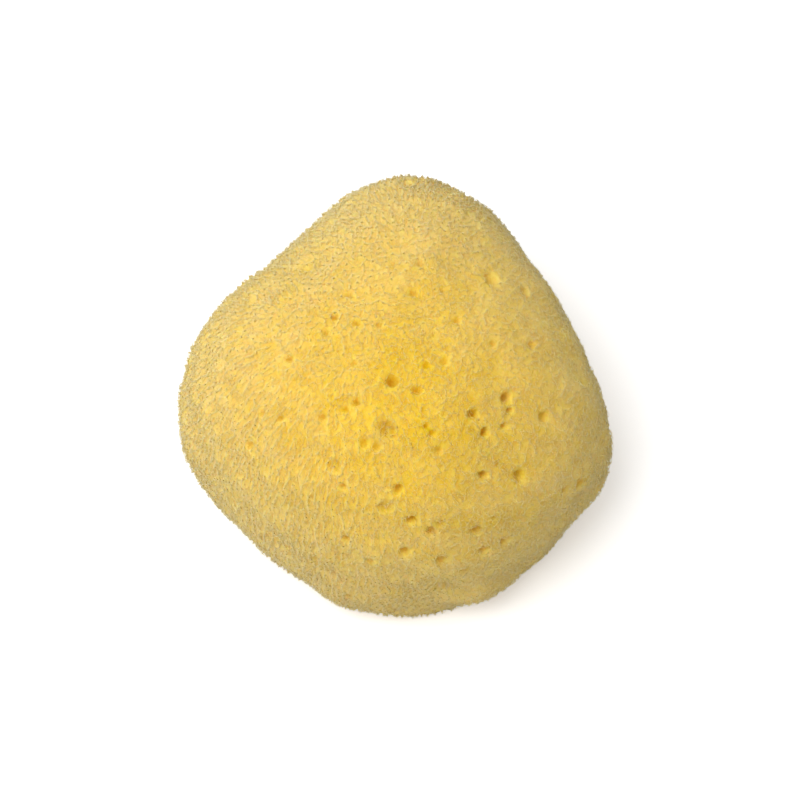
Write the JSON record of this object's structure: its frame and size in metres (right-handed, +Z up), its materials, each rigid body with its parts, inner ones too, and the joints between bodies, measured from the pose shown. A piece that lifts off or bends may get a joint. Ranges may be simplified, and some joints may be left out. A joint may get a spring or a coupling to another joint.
{
  "type": "sea sponge",
  "caption": "Small natural silk sea sponge: a lobed, rounded dome of fine yellow spongin fibre with round pores, cut off flat at its base.",
  "frame": {"origin": "centre of the box round the sponge, on the flat cut it rests on", "axes": "+Z up out of the cut, the shortest way through the sponge; -Y is the front, where the flank runs down almost upright"},
  "size_m": [0.0538, 0.054, 0.037],
  "materials": {
    "sponge_fibre": "dry, matt, fine pale yellow spongin fibre, paler at the tips and deep gold inside the pores"
  },
  "bodies": {
    "root": {"sponge": "sponge_fibre"}
  },
  "joints": []
}
